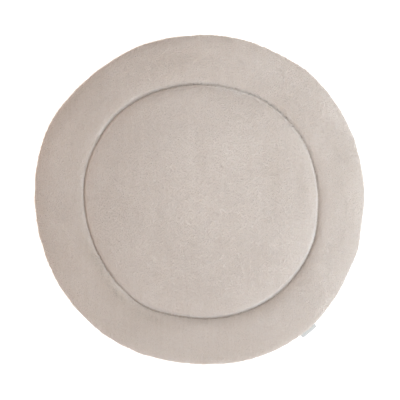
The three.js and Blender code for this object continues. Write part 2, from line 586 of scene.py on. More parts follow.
@dataclass(frozen=True)
class PlushFinish(Finish):
    """Polyester plush, warp-knitted and sheared: short upright fibres that look velvety.

    The eye gets a soft taupe with no gloss, a pale bloom where the pile is seen from the side, faint
    streaks along the brushed direction and small flecks where single locks catch the light.
    """

    name: str = "polyester_plush"
    # Painted shade: depth is the dark line deep in the stitched crease, hollow the shade deep in the pile.
    depth: str = "857468"
    hollow: str = "bdada0"
    body: str = "cfc1b7"
    tip: str = "ded3cb"
    hollow_at: float = 0.1
    body_at: float = 0.5
    mottle: float = 90 * MM
    mottle_weight: float = 0.1
    streak_across: float = 7 * MM
    streak_along: float = 90 * MM
    streak_weight: float = 0.2
    # Single fibres are 0.02 mm thick, too fine to show, so the grain is drawn at the size of a lock
    grain: float = 2.4 * MM
    grain_weight: float = 0.07
    bump_depth: float = 0.8 * MM
    sheen: str = "e9eff3"

    def look(self, tree: NodeTree) -> dict:
        """Tone from each lock's height and fleck, with mottles, streaks and grain, through one ramp.

        The height value carries painted shade and painted highlight as well as each lock's own tone.

        Args:
            tree: the material's node tree.

        Returns:
            The inputs of the surface shader, by name.
        """
        place = own_place(tree)
        stretch = (1 / self.streak_across, 1 / self.streak_along, 1 / self.streak_along)
        brushed = add_node(tree, "ShaderNodeMapping", {"Vector": place, "Scale": stretch}).outputs[0]
        noises = (
            # coordinates, scale, detail, weight
            (place, 1 / self.mottle, 2.0, self.mottle_weight),
            (brushed, 1.0, 2.0, self.streak_weight),
            (place, 1 / self.grain, 1.0, self.grain_weight),
        )
        total = add_node(tree, "ShaderNodeAttribute", attribute_name="fleck").outputs["Fac"]
        for vector, scale, detail, weight in noises:
            inputs = {"Vector": vector, "Scale": scale, "Detail": detail}
            noise = add_node(tree, "ShaderNodeTexNoise", inputs).outputs["Fac"]
            centred = add_node(tree, "ShaderNodeMath", {0: noise, 1: 0.5}, operation="SUBTRACT")
            inputs = {0: centred.outputs[0], 1: weight, 2: total}
            total = add_node(tree, "ShaderNodeMath", inputs, operation="MULTIPLY_ADD").outputs[0]
        # Height carries painted shade at the roots and stitch line, and painted highlight at the centre's
        # edge.
        height = add_node(tree, "ShaderNodeAttribute", attribute_name="height").outputs["Fac"]
        shade = add_node(tree, "ShaderNodeMath", {0: height, 1: total}, operation="ADD", use_clamp=True)
        ramp = add_node(tree, "ShaderNodeValToRGB", {"Fac": shade.outputs[0]})
        stops = ramp.color_ramp.elements
        stops[0].color, stops[1].color = linear(self.depth), linear(self.tip)
        stops.new(self.hollow_at).color = linear(self.hollow)
        stops.new(self.body_at).color = linear(self.body)
        return {
            "Base Color": ramp.outputs["Color"],
            "Roughness": 0.95,
            "Specular IOR Level": 0.15,
            "Subsurface Weight": 0.4,
            "Subsurface Radius": (1.0, 0.92, 0.86),
            "Subsurface Scale": 3 * MM,
            "Sheen Weight": 0.5,
            "Sheen Roughness": 0.5,
            "Sheen Tint": linear(self.sheen),
            # The last noise of the table is the grain
            "Normal": bumped(tree, noise, self.bump_depth, 0.5),
        }


@dataclass(frozen=True)
class BackClothFinish(Finish):
    """Plain-woven cotton of the back panel: matt, flat and a little paler than the plush.

    Its threads lie 0.5 mm apart, too fine to show, so the weave is drawn at 1.5 mm and looks like a
    coarser canvas with slightly uneven threads.
    """

    name: str = "plain_woven_cotton"
    low: str = "b9aea4"
    high: str = "cdc4bb"
    thread: float = 1.5 * MM
    slub: float = 9 * MM
    slub_weight: float = 0.7
    bump_depth: float = 0.25 * MM

    def look(self, tree: NodeTree) -> dict:
        """Two crossed sets of threads, with slubs.

        Args:
            tree: the material's node tree.

        Returns:
            The inputs of the surface shader, by name.
        """
        place = own_place(tree)
        inputs = {"Vector": place, "Scale": wave_scale(self.thread), "Distortion": 0.4}
        warp, weft = (
            add_node(tree, "ShaderNodeTexWave", inputs, bands_direction=way).outputs["Fac"]
            for way in "XY"
        )
        weave = add_node(tree, "ShaderNodeMath", {0: warp, 1: weft}, operation="MULTIPLY").outputs[0]
        slubs = add_node(tree, "ShaderNodeTexNoise", {"Vector": place, "Scale": 1 / self.slub})
        inputs = {0: slubs.outputs["Fac"], 1: self.slub_weight, 2: weave}
        share = add_node(tree, "ShaderNodeMath", inputs, operation="MULTIPLY_ADD", use_clamp=True)
        return {
            "Base Color": mixed(tree, share.outputs[0], self.low, self.high),
            "Roughness": 0.9,
            "Specular IOR Level": 0.25,
            "Sheen Weight": 0.1,
            "Normal": bumped(tree, weave, self.bump_depth, 0.6),
        }


@dataclass(frozen=True)
class ThreadFinish(Finish):
    """Two-ply spun polyester sewing thread: matt, dyed to the plush, with a fine diagonal twist."""

    name: str = "spun_polyester_thread"
    low: str = "8f8278"
    high: str = "b5a89e"
    twist: float = 0.9 * MM

    def look(self, tree: NodeTree) -> dict:
        """Pale and dark bands of the twist.

        Args:
            tree: the material's node tree.

        Returns:
            The inputs of the surface shader, by name.
        """
        inputs = {"Vector": own_place(tree), "Scale": wave_scale(self.twist), "Distortion": 1.0}
        twist = add_node(tree, "ShaderNodeTexWave", inputs, bands_direction="DIAGONAL").outputs["Fac"]
        colour = mixed(tree, twist, self.low, self.high)
        return {"Base Color": colour, "Roughness": 0.75, "Specular IOR Level": 0.3}


@dataclass(frozen=True)
class LabelFinish(Finish):
    """Woven polyester label tape: smooth and faintly ribbed, and to the eye paler than the plush.

    The run is the distance that the map's height stands for.
    """

    name: str = "woven_label_tape"
    low: str = "989894"
    high: str = "a7a7a4"
    rib: float = 0.8 * MM
    bump_depth: float = 0.08 * MM
    run: float = 1.0

    def look(self, tree: NodeTree) -> dict:
        """Fine ribs that run along the label's long side.

        Args:
            tree: the material's node tree.

        Returns:
            The inputs of the surface shader, by name.
        """
        place = add_node(tree, "ShaderNodeUVMap", uv_map=BAKE_MAP).outputs["UV"]
        inputs = {"Vector": place, "Scale": wave_scale(self.rib / self.run), "Distortion": 0.3}
        ribs = add_node(tree, "ShaderNodeTexWave", inputs, bands_direction="Y").outputs["Fac"]
        return {
            "Base Color": mixed(tree, ribs, self.low, self.high),
            "Roughness": 0.6,
            "Specular IOR Level": 0.35,
            "Normal": bumped(tree, ribs, self.bump_depth, 0.5),
        }


@dataclass(frozen=True)
class FloorFinish(Finish):
    """Seamless white studio paper: matt, lit evenly enough to read as white round the mat."""

    name: str = "white_studio_paper"
    colour: str = "fbfbfa"
    own_light: float = 0.6

    def look(self, tree: NodeTree) -> dict:
        """One even colour, with a little light of its own."""
        return {
            "Base Color": linear(self.colour),
            "Roughness": 1.0,
            "Specular IOR Level": 0.0,
            "Emission Color": linear("ffffff"),
            "Emission Strength": self.own_light,
        }


@dataclass
class PaddedMat:
    """The filled mat as one closed surface: plush top panel, side seam and cotton back panel."""

    plan: MatPlan = field(default_factory=MatPlan)
    pile_height: float = 5.2 * MM
    columns: int = 480
    centre_rows: int = 88
    border_rows: int = 62
    under_border_rows: int = 24
    under_centre_rows: int = 18
    centre_crowding: float = 1.35
    under_centre_crowding: float = 1.6
    border_crowding: float = 0.85
    lumps: tuple[Lump, ...] = (
        # at, out, height, round_spread, out_spread
        Lump(222, 16, -2.5, 14, 12),
        Lump(100, 22, -0.8, 14, 14),
    )
    fill_lump: float = 0.8 * MM
    fill_lump_width: float = 150 * MM
    pucker: float = 0.5 * MM
    pucker_width: float = 22 * MM
    pucker_reach: float = 26 * MM
    gather: float = 1.0 * MM
    gather_width: float = 32 * MM
    gather_reach: float = 24 * MM
    fine_gather_share: float = 0.5
    fine_gather_narrower: float = 2.5
    seam_groove: float = 1.2 * MM
    seam_groove_width: float = 1.8 * MM
    # The ground takes the roots' darker tone, a painted shade under the pile; the parted line gets more
    # painted shade.
    ground: float = 0.3
    ground_painted_shade: float = 0.3
    ground_painted_shade_width: float = 4.5 * MM
    map_top_middle: float = 0.33
    map_top_radius: float = 0.32
    map_back_middle: float = 0.83
    map_back_radius: float = 0.15

    def __post_init__(self) -> None:
        """Makes the section and the two surfaces."""
        self.section = MatSection(self.plan)
        self.angle = round_steps(self.columns) - np.pi
        self.centre_shares = crowded_to_one(self.centre_rows, self.centre_crowding)[1:]
        self.border_shares = crowded_to_ends(self.border_rows, self.border_crowding)[1:]
        self.top = self.top_surface()
        self.under = self.under_surface()

    def polar(self, radius: Array, height: Array) -> Array:
        """Points at each radius and height for every angle round, less the part's own shift."""
        x, y = radius * np.cos(self.angle), radius * np.sin(self.angle)
        return np.stack([x, y, height], axis=-1) - self.plan.middle()

    def unevenness(self, points: Array, gap: Array) -> Array:
        """Small lifts and hollows of the top.

        Broad lumps of filling fade toward the stitches, puckers fade away from them, and each named lump
        is a soft bell round its own place.

        Args:
            points: the surface's points.
            gap: their distances from the stitch line, less than 0 inside the ring.

        Returns:
            Lifts in metres.
        """
        x, y = points[..., 0], points[..., 1]
        near = np.exp(-np.abs(gap) / self.pucker_reach)
        lift = self.fill_lump * SoftNoise(Seed.FILL).at(x, y, self.fill_lump_width) * (1 - near)
        lift += self.pucker * SoftNoise(Seed.PUCKER).at(x, y, self.pucker_width) * near
        for lump in self.lumps:
            turn = turned(self.angle, lump.at) / lump.round_spread
            out = (gap / MM - lump.out) / lump.out_spread
            lift += lump.height * MM * np.exp(-0.5 * (turn**2 + out**2))
        return lift

    def draw_in(self, points: Array, inward: Array) -> Array:
        """Gathers and groove of the side seam.

        The edge waves in and out along its length, less and less further in, and the seam's thread pulls
        the cloth in where its height is that of the seam.

        Args:
            points: points of the rim.
            inward: their distances from the edge.

        Returns:
            The moved points.
        """
        way = unit(points * [1, 1, 0])
        x, y = self.plan.edge(self.angle) * [np.cos(self.angle), np.sin(self.angle)]
        wave = SoftNoise(Seed.GATHER).at(x, y, self.gather_width)
        narrow = self.gather_width / self.fine_gather_narrower
        wave = wave + self.fine_gather_share * SoftNoise(Seed.FINE_GATHER).at(x, y, narrow)
        out = self.gather * wave * np.exp(-inward / self.gather_reach)
        level = (points[..., 2] - self.section.side_seam_height) / self.seam_groove_width
        out = out - self.seam_groove * np.exp(-(level**2)) * (inward < self.gather_reach)
        return points + way * out[..., None]

    def top_surface(self) -> Array:
        """The cloth under the pile, from next to the middle out to the side seam.

        A row at a share of the way to the ring, or from the ring to the edge, has the section's height at
        that share. The whole surface then sinks by the pile's height along its own outward direction.

        Returns:
            Points, (rows, columns, 3).
        """
        ring, edge = self.plan.ring(self.angle), self.plan.edge(self.angle)
        share = self.centre_shares[:, None]
        inner = self.polar(share * ring, self.section.centre_top(share, self.angle))
        inner[..., 2] += self.unevenness(inner, (share - 1) * ring)
        share = self.border_shares[:, None]
        outer = self.polar(ring + share * (edge - ring), self.section.border_top(share, self.angle))
        inward = (1 - share) * (edge - ring)
        fade = self.section.rim_curve(inward, self.section.rim_top_width)
        outer[..., 2] += self.unevenness(outer, share * (edge - ring)) * fade
        points = np.concatenate([inner, self.draw_in(outer, inward)])
        return points - self.pile_height * self.outward(points)

    def under_surface(self) -> Array:
        """The back panel, from next to the side seam in to the middle.

        Returns:
            Points, (rows, columns, 3).
        """
        ring, edge = self.plan.ring(self.angle), self.plan.edge(self.angle)
        share = crowded_to_ends(self.under_border_rows, self.border_crowding)[:-1][::-1, None]
        outer = self.polar(ring + share * (edge - ring), self.section.border_under(share, self.angle))
        inward = (1 - share) * (edge - ring)
        left = np.clip(1 - inward / self.section.rim_under_width, 0, 1)
        outer = self.draw_in(outer, inward)
        outer -= unit(outer * [1, 1, 0]) * (self.pile_height * left)[..., None]
        share = crowded_to_one(self.under_centre_rows, self.under_centre_crowding)[1:-1][::-1, None]
        inner = self.polar(share * ring, self.section.centre_under(share, self.angle))
        return np.concatenate([outer, inner])

    @staticmethod
    def outward(points: Array) -> Array:
        """The outward direction of a surface of closed rows: the cross product of its two slopes.

        Args:
            points: the surface, (rows, columns, 3).

        Returns:
            Unit vectors, one for each point.
        """
        round_way = np.roll(points, -1, axis=1) - np.roll(points, 1, axis=1)
        out_way = np.gradient(points, axis=0)
        return unit(np.cross(out_way, round_way))

    def section_lengths(self) -> Array:
        """Measures the mean distance along the top cloth from the middle to each row.

        Returns:
            Distances in metres.
        """
        steps = np.linalg.norm(np.diff(self.top, axis=0), axis=-1).mean(axis=1)
        first = np.linalg.norm(self.top[0, :, :2] + self.plan.middle()[:2], axis=-1).mean()
        return np.concatenate([[first], first + np.cumsum(steps)])

    def build(self, plush: Material, back: Material) -> Object:
        """Joins the two surfaces at the side seam and dresses them.

        Args:
            plush: the top panel's material.
            back: the back panel's material.

        Returns:
            The finished piece.
        """
        rows = np.concatenate([self.top, self.under])
        middle = self.plan.middle()
        top_pole = self.top[0].mean(axis=0)
        points = np.concatenate([[top_pole], rows.reshape(-1, 3), [-middle * [1, 1, 0]]])
        count = len(self.top)
        faces_top = round_grid_faces(count, self.columns, 1)
        faces_under = round_grid_faces(len(rows) - count + 1, self.columns, 1 + (count - 1) * self.columns)
        cap = fan_faces(0, 1, self.columns, True)
        base = fan_faces(len(points) - 1, len(points) - 1 - self.columns, self.columns, False)
        lengths = self.section_lengths() / self.section_lengths()[-1]
        made = new_mesh(
            "filled_mat",
            points,
            [cap, faces_top, faces_under, base],
            maps=self.bake_maps(points, lengths),
            values={"height": self.ground_tone_with_painted_shade(points)},
            slots=[0, 0, 1, 1],
        )
        finished(made, [plush, back], MAT_NODE)
        return made

    def ground_tone_with_painted_shade(self, points: Array) -> Array:
        """Tone of the knitted ground under the pile, with a painted shade of exp(-(gap / width)^2) in the
        parted line.

        Args:
            points: every vertex of the mat.

        Returns:
            The height value of each vertex.
        """
        gap, _, _ = self.from_seam(points)
        return self.ground - self.ground_painted_shade * np.exp(-((gap / self.ground_painted_shade_width) ** 2))

    def from_seam(self, points: Array) -> tuple[Array, Array, Array]:
        """Where points lie, as seen from the sewn ring.

        Args:
            points: any points, (count, 3).

        Returns:
            Distances from the stitch line, less than 0 inside the ring, angles round the mat, and flat
            unit vectors away from its middle.
        """
        place = points + self.plan.middle()
        angle = np.arctan2(place[:, 1], place[:, 0])
        gap = np.hypot(place[:, 0], place[:, 1]) - self.plan.ring(angle)
        return gap, angle, unit(place * [1, 1, 0])

    def bake_maps(self, points: Array, lengths: Array) -> list[Array]:
        """Lays the top and the back out as two discs side by side.

        The top's radius in the map is its distance along the cloth, so the steep rim isn't squeezed.

        Args:
            points: every vertex of the mat.
            lengths: for each row of the top, its share of the whole distance along the cloth.

        Returns:
            The map place of each vertex for the cap, the top, the back and the base.
        """
        turn = np.stack([np.cos(self.angle), np.sin(self.angle)], axis=-1)
        top = np.full((len(points), 2), self.map_top_middle)
        spread = self.map_top_middle + self.map_top_radius * lengths[:, None, None] * turn
        top[1 : 1 + spread.shape[0] * self.columns] = spread.reshape(-1, 2)
        back = points[:, :2] / self.plan.edge_radius * self.map_back_radius + self.map_back_middle
        return [top, top, back, back]


@dataclass(frozen=True)
class NapAndPaintedLightStroke:
    """A patch where the pile looks darker or paler: partly marks of the brushed nap, partly painted
    shade and painted highlight.

    Its middle, half width and half length are in millimetres, and its long way is in degrees. Its shade
    is less than 0 where the patch darkens the pile.
    """

    x: float
    y: float
    width: float
    length: float
    toward: float
    shade: float


class PileZone(Enum):
    """The four fields that the pile is made in, each one piece."""

    CENTRE_FAR = ("pile_centre_far", False, True)
    CENTRE_NEAR = ("pile_centre_near", False, False)
    BORDER_FAR = ("pile_border_far", True, True)
    BORDER_NEAR = ("pile_border_near", True, False)

    def __init__(self, piece: str, border: bool, far: bool) -> None:
        """Keeps what each field is.

        Args:
            piece: the piece's name.
            border: True where it lies on the border, False where it lies on the centre.
            far: True for the half away from the viewer.
        """
        self.piece = piece
        self.border = border
        self.far = far


@dataclass
class PlushPile:
    """Short plush pile: at each root one pointed lock of fibres that leans the way the nap was brushed."""

    mat: PaddedMat
    spacing: float = 1.93 * MM
    length: float = 6.6 * MM
    length_spread: float = 0.18
    most_spreads: float = 2.0
    root_width: float = 1.5 * MM
    # Roots are darker than tips: a painted shade deep in the pile.
    painted_shade_root_tone: float = 0.3
    tip_tone: float = 0.7
    lean: float = 0.75
    lean_spread: float = 0.3
    nap_way: tuple[float, float, float] = (0.12, -1.0, 0.0)
    swirl: float = 0.25
    swirl_width: float = 140 * MM
    parting_in: float = 2.9 * MM
    parting_out: float = 3.3 * MM
    parting_change: float = 0.9 * MM
    parting_length: float = 0.4
    parting_lean: float = 0.8
    # Painted shade: the locks darken where the stitching parts them.
    parting_painted_shade: float = 0.5
    # Painted shade on the border's slope down to the stitches.
    slope_painted_shade: float = 0.11
    slope_reach: float = 24 * MM
    # Painted highlight: the locks on the centre's edge beside the stitches are paler.
    lip_painted_highlight: float = 0.24
    lip_inward: float = 5 * MM
    lip_width: float = 3 * MM
    ruffle_at: float = math.radians(64)
    ruffle_spread: float = math.radians(26)
    ruffle: float = 2.2
    ruffle_width: float = 6 * MM
    ruffle_reach: float = 6.5 * MM
    ruffle_length: float = 0.4
    ruffle_covers: float = 0.5
    ruffle_fleck: float = 0.6
    ruffle_fleck_width: float = 4.2 * MM
    sunk: float = 0.8 * MM
    map_length: float = 5.28 * MM
    map_margin: float = 0.01
    fleck: float = 0.03
    # The broad strokes are partly marks of the brushed nap, partly painted shade and painted highlight.
    strokes: tuple[NapAndPaintedLightStroke, ...] = (
        # x, y, width, length, toward, shade
        NapAndPaintedLightStroke(-263, -191, 10, 48, 126, -0.18),
        NapAndPaintedLightStroke(-230, -252, 18, 44, 138, -0.24),
        NapAndPaintedLightStroke(6, 110, 12, 44, 90, -0.15),
        NapAndPaintedLightStroke(200, 90, 18, 62, 90, -0.18),
        NapAndPaintedLightStroke(273, 52, 10, 46, 90, -0.16),
        NapAndPaintedLightStroke(-88, -128, 16, 46, 95, -0.07),
        NapAndPaintedLightStroke(-98, 133, 45, 40, 90, 0.08),
        NapAndPaintedLightStroke(-298, -127, 13, 40, 113, -0.15),
        NapAndPaintedLightStroke(-278, 45, 14, 60, 80, 0.14),
        NapAndPaintedLightStroke(-118, -324, 12, 40, 160, -0.20),
        NapAndPaintedLightStroke(-374, -136, 20, 60, 110, -0.10),
        NapAndPaintedLightStroke(-175, -343, 36, 80, 153, -0.16),
        NapAndPaintedLightStroke(60, -392, 30, 100, 9, -0.13),
        NapAndPaintedLightStroke(75, -428, 18, 130, 10, -0.14),
        NapAndPaintedLightStroke(250, -355, 18, 60, 35, -0.14),
        NapAndPaintedLightStroke(-72, 368, 26, 75, 11, -0.14),
        NapAndPaintedLightStroke(0, 436, 18, 110, 0, 0.10),
        NapAndPaintedLightStroke(352, 247, 18, 90, 125, 0.13),
        NapAndPaintedLightStroke(390, 45, 34, 105, 97, -0.12),
        NapAndPaintedLightStroke(198, 356, 26, 60, 151, 0.20),
        NapAndPaintedLightStroke(-209, 368, 14, 50, 29, 0.14),
        NapAndPaintedLightStroke(-358, 33, 24, 30, 90, 0.15),
        # These thin strokes along the stitch line are painted highlight that narrows the seam's shade.
        NapAndPaintedLightStroke(-230, 222, 4, 50, 46, 0.45),
        NapAndPaintedLightStroke(95, 292, 7, 60, -18, 0.24),
        NapAndPaintedLightStroke(53, 300, 4, 22, -10, 0.25),
        NapAndPaintedLightStroke(302, -110, 3.5, 22, 70, 0.35),
        NapAndPaintedLightStroke(161, -278, 3.5, 35, 30, 0.35),
        NapAndPaintedLightStroke(-295, 107, 3, 48, 70, 0.25),
        NapAndPaintedLightStroke(-207, -246, 4, 22, 140, 0.40),
        NapAndPaintedLightStroke(321, 0, 3, 30, 90, 0.25),
    )

    def roots(self, zone: PileZone) -> tuple[Array, Array, np.random.Generator]:
        """Places the locks of one zone: even rows along the cloth, each lock anywhere in its own cell.

        Args:
            zone: the field to fill.

        Returns:
            The roots, the cloth's outward directions there, and the zone's random numbers.
        """
        rng = np.random.default_rng([int(Seed.LOCKS), list(PileZone).index(zone)])
        lengths = self.mat.section_lengths()
        split = self.mat.centre_rows - 1
        low, high = (lengths[split], lengths[-1]) if zone.border else (0.0, lengths[split])
        rows = np.arange(low, high, self.spacing)
        radius = np.interp(rows, lengths, self.mean_radii())
        counts = np.maximum(np.round(np.pi * radius / self.spacing), 1).astype(int)
        row = np.repeat(np.arange(len(rows)), counts)
        place = np.arange(len(row)) - np.repeat(np.cumsum(counts) - counts, counts)
        turn = np.pi * (place + rng.random(len(row))) / counts[row] + (0 if zone.far else np.pi)
        along = np.minimum(rows[row] + self.spacing * rng.random(len(row)), high)
        across = np.interp(along, lengths, np.arange(len(lengths)))
        points, outward = self.cloth_at(across, turn)
        return points, outward, rng

    def mean_radii(self) -> Array:
        """Mean radius of each row of the top cloth."""
        return np.linalg.norm(self.mat.top[..., :2], axis=-1).mean(axis=1)

    def cloth_at(self, across: Array, turn: Array) -> tuple[Array, Array]:
        """The cloth's points and outward directions between its rows and columns.

        Args:
            across: place between the rows, as a row number with a fraction.
            turn: angle round the mat.

        Returns:
            Points and outward directions, mixed from the four nearest points of the surface.
        """
        surface = self.mat.top
        ways = self.mat.outward(surface)
        column = (turn + np.pi) / (2 * np.pi) * self.mat.columns
        i = np.clip(np.floor(across).astype(int), 0, len(surface) - 2)
        j = np.floor(column).astype(int)
        s, t = (across - i)[:, None], (column - j)[:, None]
        j, k = j % self.mat.columns, (j + 1) % self.mat.columns

        def between(grid: Array) -> Array:
            """Mixes the four corners of each cell.

            Args:
                grid: a vector for each point of the surface.

            Returns:
                A vector for each place between them.
            """
            near = grid[i, j] * (1 - s) + grid[i + 1, j] * s
            far = grid[i, k] * (1 - s) + grid[i + 1, k] * s
            return near * (1 - t) + far * t

        return between(surface), unit(between(ways))

    def part_at_seam(self, points: Array) -> tuple[Array, Array, Array]:
        """How far the stitching parts the pile, and how far it stays ruffled across the line.

        The parting falls off as exp(-(distance / reach)^2). It reaches further on the border's side, most
        of all where the mat is fullest, and is less where the thread is loose. The ruffle falls off alike
        and, along the line, as a soft bell round its place.

        Args:
            points: the roots.

        Returns:
            Parting and ruffle, each from 0 to 1, and unit vectors away from the stitch line.
        """
        gap, angle, out = self.mat.from_seam(points)
        loose = self.mat.section.loose_share * self.mat.section.looseness(angle)
        fuller = self.parting_change * np.cos(angle - self.mat.section.fullest_toward)
        reach = np.where(gap < 0, self.parting_in, self.parting_out + fuller)
        parting = np.exp(-((gap / reach) ** 2)) * (1 - loose)
        ruffled = bell((angle - self.ruffle_at) / self.ruffle_spread)
        ruffle = np.exp(-((gap / self.ruffle_reach) ** 2)) * ruffled
        return parting[:, None], ruffle[:, None], out * np.sign(gap)[:, None]

    def lie(self, points: Array, outward: Array, rng: np.random.Generator) -> Array:
        """The direction in which each lock points.

        It is the outward direction plus the brushed nap, which swirls a little over the cloth, plus a
        small random lean of each lock's own. At the stitch line the locks also lean away from it, and
        where they are ruffled, small clumps of them lean across it one way or the other.

        Args:
            points: the roots.
            outward: the cloth's outward directions.
            rng: the zone's random numbers.

        Returns:
            Unit vectors.
        """
        x, y = points[:, 0], points[:, 1]
        seeds = (Seed.SWIRL_ACROSS, Seed.SWIRL_ALONG)
        noises = [SoftNoise(seed).at(x, y, self.swirl_width) for seed in seeds]
        swirl = np.stack([*noises, np.zeros_like(x)], axis=-1)
        brushed = np.array(self.nap_way) * self.lean + swirl * self.swirl
        brushed -= outward * np.sum(brushed * outward, axis=1, keepdims=True)
        own = rng.normal(0, self.lean_spread, points.shape)
        parting, ruffle, away = self.part_at_seam(points)
        clump = SoftNoise(Seed.RUFFLE_LEAN).at(x, y, self.ruffle_width)[:, None]
        way = outward + (brushed + own) * (1 - parting) + away * self.parting_lean * parting
        return unit(way + away * clump * self.ruffle * ruffle)

    def build(self, zone: PileZone, plush: Material) -> Object:
        """Makes one zone's locks: each a closed pyramid on three corners round its root.

        Args:
            zone: the field to fill.
            plush: the pile's material.

        Returns:
            The finished piece.
        """
        roots, outward, rng = self.roots(zone)
        count = len(roots)
        way = self.lie(roots, outward, rng)
        side = unit(np.cross(way, rng.normal(0, 1, way.shape)))
        other = np.cross(way, side)
        longer = np.clip(rng.normal(0, 1, (count, 1)), -self.most_spreads, self.most_spreads)
        parting, ruffle, _ = self.part_at_seam(roots)
        length = self.length * (1 + self.length_spread * longer)
        length = length * (1 - (1 - self.parting_length) * parting + self.ruffle_length * ruffle)
        corner = round_steps(3)
        spread = side[:, None] * np.cos(corner)[:, None] + other[:, None] * np.sin(corner)[:, None]
        base = roots - self.sunk * outward
        foot = base[:, None] + spread * self.root_width
        tip = base + way * length
        points = np.concatenate([foot, tip[:, None]], axis=1).reshape(-1, 3)
        first = np.arange(count)[:, None, None] * 4
        pattern = np.array([[0, 1, 3], [1, 2, 3], [2, 0, 3], [0, 2, 1]])
        faces = (first + pattern).reshape(-1, 3)
        # Roots take a painted shade of the pile's depth, tips the paler tip tone.
        height = np.tile([self.painted_shade_root_tone] * 3 + [self.tip_tone], (count, 1))
        # Painted shade in the parted line, less where the ruffle covers it.
        height = height - self.parting_painted_shade * parting * (1 - ruffle * self.ruffle_covers)
        # Nap marks, painted shade and painted highlight of each lock's place.
        height += self.nap_and_painted_light_tone(roots)[:, None]
        clump = SoftNoise(Seed.RUFFLE_TONE).at(roots[:, 0], roots[:, 1], self.ruffle_fleck_width)
        fleck = rng.normal(0, self.fleck, count) + self.ruffle_fleck * clump * ruffle[:, 0]
        values = {"height": height.ravel(), "fleck": np.repeat(fleck, 4)}
        made = new_mesh(zone.piece, points, [faces], [self.bake_map(base, way)], values)
        return finished(made, [plush])

    def nap_and_painted_light_tone(self, roots: Array) -> Array:
        """How much darker or paler each lock is, from painted shade, painted highlight and nap marks.

        A painted shade lies on the border's slope down to the stitches, less by exp(-(gap / reach)^2). A
        painted highlight lies on the centre's edge as a soft bell across the edge, where the thread is
        tight. Each stroke is a soft bell, exp(-(a^2 + b^2) / 2), where a and b are the distances along
        and across it as shares of its half length and half width.

        Args:
            roots: the locks' roots.

        Returns:
            What is added to each lock's height value.
        """
        gap, angle, _ = self.mat.from_seam(roots)
        # Painted shade on the border's slope beside the stitch line.
        total = -self.slope_painted_shade * np.exp(-((gap / self.slope_reach) ** 2)) * (gap > 0)
        # Painted highlight along the centre's edge, where the thread is tight.
        lip = np.exp(-(((gap + self.lip_inward) / self.lip_width) ** 2))
        total += self.lip_painted_highlight * lip * (1 - self.mat.section.looseness(angle))
        for stroke in self.strokes:
            x, y = roots[:, 0] / MM - stroke.x, roots[:, 1] / MM - stroke.y
            turn = math.radians(stroke.toward)
            along = (x * math.cos(turn) + y * math.sin(turn)) / stroke.length
            across = (y * math.cos(turn) - x * math.sin(turn)) / stroke.width
            total += stroke.shade * np.exp(-0.5 * (along**2 + across**2))
        return total

    def bake_map(self, base: Array, way: Array) -> Array:
        """Lays each lock flat at its own root's place in the plan, so that no face is without width.

        Args:
            base: the middle of each lock's foot.
            way: each lock's direction.

        Returns:
            The map place of each vertex.
        """
        corner = round_steps(3)
        foot = np.stack([np.cos(corner), np.sin(corner)], axis=-1) * self.root_width
        flat = unit(way[:, :2]) * self.map_length
        places = np.concatenate([np.tile(foot, (len(base), 1, 1)), flat[:, None]], axis=1)
        places = (places + base[:, None, :2]).reshape(-1, 2)
        low, high = places.min(axis=0), places.max(axis=0)
        return self.map_margin + (1 - 2 * self.map_margin) * (places - low) / (high - low)


class SeamSide(Enum):
    """The two sides of the mat on which the ring's stitches lie."""

    TOP = ("ring_stitches_top", 1.0)
    UNDER = ("ring_stitches_under", -1.0)

    def __init__(self, piece: str, way: float) -> None:
        """Keeps the piece's name and which way is out of the cloth."""
        self.piece = piece
        self.way = way


@dataclass
class StitchedRing:
    """The lockstitch that goes through all layers along the ring, on one side."""

    mat: PaddedMat
    stitch: float = 4.0 * MM
    gap_share: float = 0.18
    thread: float = 0.55 * MM
    lift_share: float = 0.6
    sides: int = 5
    steps: int = 5
    measuring_steps: int = 2000

    def path(self, side: SeamSide) -> Array:
        """Works out the ring's line in the cloth, one point for each stitch.

        Args:
            side: the side of the mat.

        Returns:
            Points, (count, 3).
        """
        run = 2 * np.pi * self.mat.plan.ring(round_steps(self.measuring_steps)).mean()
        count = int(round(run / self.stitch))
        angle = round_steps(count) - np.pi
        radius = self.mat.plan.ring(angle)
        if side is SeamSide.TOP:
            height = self.mat.section.centre_top(np.ones(count), angle) - self.mat.pile_height
            height += self.thread * self.lift_share
        else:
            height = np.full(count, self.mat.section.pinch_height - self.thread * self.lift_share)
        flat = [radius * np.cos(angle), radius * np.sin(angle), height]
        return np.stack(flat, axis=-1) - self.mat.plan.middle()

    def build(self, side: SeamSide, finish: Material) -> Object:
        """Makes every stitch as a short closed bead of thread whose ends dive into the cloth.

        Along a stitch t goes from -1 to 1. Its radius is thread / 2 * sqrt(1 - t^4), and its height
        falls by thread * t^4.

        Args:
            side: the side of the mat.
            finish: the thread's material.

        Returns:
            The finished piece.
        """
        middle = self.path(side)
        ahead = unit(np.roll(middle, -1, axis=0) - np.roll(middle, 1, axis=0))
        up = np.array([0.0, 0.0, side.way])
        across = np.cross(ahead, up)
        t = np.linspace(-1, 1, self.steps + 2)[1:-1]
        turn = round_steps(self.sides)
        half = self.stitch * (1 - self.gap_share) / 2
        line = middle[:, None] + ahead[:, None] * (t * half)[:, None]
        line = line - up * (self.thread * t**4)[:, None]
        thick = self.thread / 2 * np.sqrt(1 - t**4)
        loop = across[:, None, None] * np.cos(turn)[:, None] + up * np.sin(turn)[:, None]
        body = line[:, :, None] + loop * thick[:, None, None]
        ends = middle[:, None] + ahead[:, None] * np.array([[-half], [half]]) - up * self.thread
        each = self.steps * self.sides + 2
        points = np.concatenate([body.reshape(len(middle), -1, 3), ends], axis=1).reshape(-1, 3)
        tube = round_grid_faces(self.steps, self.sides)
        start = fan_faces(each - 2, 0, self.sides, True)
        stop = fan_faces(each - 1, (self.steps - 1) * self.sides, self.sides, False)
        first = np.arange(len(middle))[:, None, None] * each
        blocks = [(first + block).reshape(-1, block.shape[1]) for block in (tube, start, stop)]
        if side is SeamSide.UNDER:
            blocks = [block[:, ::-1] for block in blocks]
        made = new_mesh(side.piece, points, blocks)
        return finished(made, [finish])


